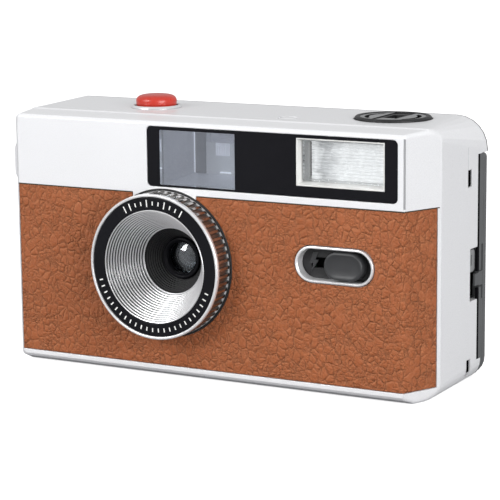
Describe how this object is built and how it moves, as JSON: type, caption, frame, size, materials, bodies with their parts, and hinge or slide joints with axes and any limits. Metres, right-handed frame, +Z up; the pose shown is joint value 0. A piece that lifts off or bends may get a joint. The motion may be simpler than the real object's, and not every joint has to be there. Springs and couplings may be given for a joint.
{
  "type": "half frame film camera",
  "caption": "Compact half frame film camera with a silver case, brown leather front, fixed wide lens, built-in flash, viewfinder, rewind crank and hinged back.",
  "frame": {"origin": "centre of the flat base, half way between the front face and the back door", "axes": "+X to the right seen from the front, +Y from the lens towards the back door, +Z up"},
  "size_m": [0.1204, 0.0438, 0.0691],
  "materials": {
    "silver_shell": "satin metallic silver",
    "bright_trim": "bright plated trim",
    "grey_plastic": "dark grey, satin",
    "black_gloss": "gloss black",
    "black_plastic": "matt black",
    "blackened_metal": "blackened",
    "leather": "grained brown",
    "clear": "clear",
    "mirror": "polished",
    "steel": "bright",
    "brass": "bright",
    "red_button": "satin red",
    "circuit_board": "lacquered",
    "foam": "foam",
    "white_dial": "white, printed",
    "battery_jacket": "wrapped",
    "amber": "translucent amber"
  },
  "bodies": {
    "camera_body": {"front_cover": "silver_shell", "main_housing": "silver_shell", "strap_lug": "silver_shell", "rewind_well": "silver_shell", "lens_rim": "bright_trim", "lens_cone": "bright_trim", "flash_bezel": "bright_trim", "flash_switch_surround": "bright_trim", "button_collar": "bright_trim", "chassis": "grey_plastic", "viewfinder_tube": "grey_plastic", "trim_panel": "black_gloss", "lens_name_ring": "black_gloss", "flash_switch_well": "black_gloss", "lens_retainer": "black_gloss", "lens_inner_cone": "black_plastic", "lens_barrel": "black_plastic", "latch_base": "black_plastic", "battery_holder": "black_plastic", "flash_capacitor": "black_plastic", "shutter_plate": "blackened_metal", "front_leather": "leather", "viewfinder_window": "clear", "viewfinder_eyepiece": "clear", "flash_lens": "clear", "flash_tube": "clear", "lens_front_element": "clear", "lens_rear_element": "clear", "counter_window": "clear", "flash_reflector": "mirror", "door_hinge_pin": "steel", "button_spring": "steel", "counter_stud": "steel", "battery_door_pin": "steel", "chassis_screw_1": "steel", "chassis_screw_2": "steel", "battery_contact_plus": "brass", "flash_board": "circuit_board", "top_light_seal": "foam", "battery_cell": "battery_jacket", "ready_lamp": "amber"},
    "door": {"back_door": "grey_plastic", "pressure_plate": "blackened_metal", "pressure_plate_spring": "steel"},
    "latch": {"door_latch": "grey_plastic"},
    "release_button": {"shutter_button": "red_button", "release_arm": "steel"},
    "flash_switch": {"flash_switch_knob": "black_gloss"},
    "rewind": {"rewind_knob": "grey_plastic", "rewind_crank_pin": "steel", "rewind_fork": "black_plastic"},
    "crank": {"rewind_crank": "grey_plastic"},
    "film_advance": {"advance_wheel": "black_plastic", "take_up_spool": "black_plastic"},
    "sprocket": {"film_sprocket": "black_plastic"},
    "counter": {"counter_dial": "white_dial"},
    "rewind_unlock": {"rewind_release": "black_plastic"},
    "blade": {"shutter_blade": "blackened_metal"},
    "battery_hatch": {"battery_door": "silver_shell", "battery_contact_minus": "steel"}
  },
  "joints": [
    {"name": "back_door_hinge", "type": "hinge", "parent": "camera_body", "child": "door", "pos_m": [-0.0585, 0.0171, 0.03], "axis": [0, 0, 1], "range_deg": [0, 110]},
    {"name": "door_latch_slide", "type": "slide", "parent": "camera_body", "child": "latch", "axis": [0, 0, -1], "range_m": [0, 0.006]},
    {"name": "shutter_release", "type": "slide", "parent": "camera_body", "child": "release_button", "axis": [0, 0, -1], "range_m": [0, 0.0016], "stiffness_N_per_m": 300, "deforming": ["button_spring"]},
    {"name": "flash_switch_slide", "type": "slide", "parent": "camera_body", "child": "flash_switch", "axis": [-1, 0, 0], "range_m": [0, 0.006]},
    {"name": "rewind_spin", "type": "hinge", "parent": "camera_body", "child": "rewind", "pos_m": [0.0389, 0.00445, 0.061], "axis": [0, 0, 1], "continuous": true},
    {"name": "rewind_crank_fold", "type": "hinge", "parent": "rewind", "child": "crank", "pos_m": [0.0389, 0.01085, 0.0649], "axis": [-1, 0, 0], "range_deg": [0, 100]},
    {"name": "film_advance_spin", "type": "hinge", "parent": "camera_body", "child": "film_advance", "pos_m": [-0.045, 0.00735, 0.03], "axis": [0, 0, 1], "continuous": true},
    {"name": "sprocket_spin", "type": "hinge", "parent": "camera_body", "child": "sprocket", "pos_m": [-0.0293, 0.0088, 0.03], "axis": [0, 0, 1], "continuous": true},
    {"name": "counter_spin", "type": "hinge", "parent": "camera_body", "child": "counter", "pos_m": [0.0166, 0.00175, 0.0626], "axis": [0, 0, 1], "continuous": true},
    {"name": "rewind_unlock_press", "type": "slide", "parent": "camera_body", "child": "rewind_unlock", "axis": [0, 0, 1], "range_m": [0, 0.0009]},
    {"name": "shutter_blade_swing", "type": "hinge", "parent": "camera_body", "child": "blade", "pos_m": [-0.0059, -0.00475, 0.0234], "axis": [0, 1, 0], "range_deg": [0, 45]},
    {"name": "battery_hatch_hinge", "type": "hinge", "parent": "camera_body", "child": "battery_hatch", "pos_m": [0.00975, -0.00085, 0.00082], "axis": [0, 1, 0], "range_deg": [0, 95]}
  ],
  "couplings": [
    {"joint": "sprocket_spin", "follows": "film_advance_spin", "ratio": 0.76},
    {"joint": "counter_spin", "follows": "film_advance_spin", "ratio": 0.02}
  ]
}
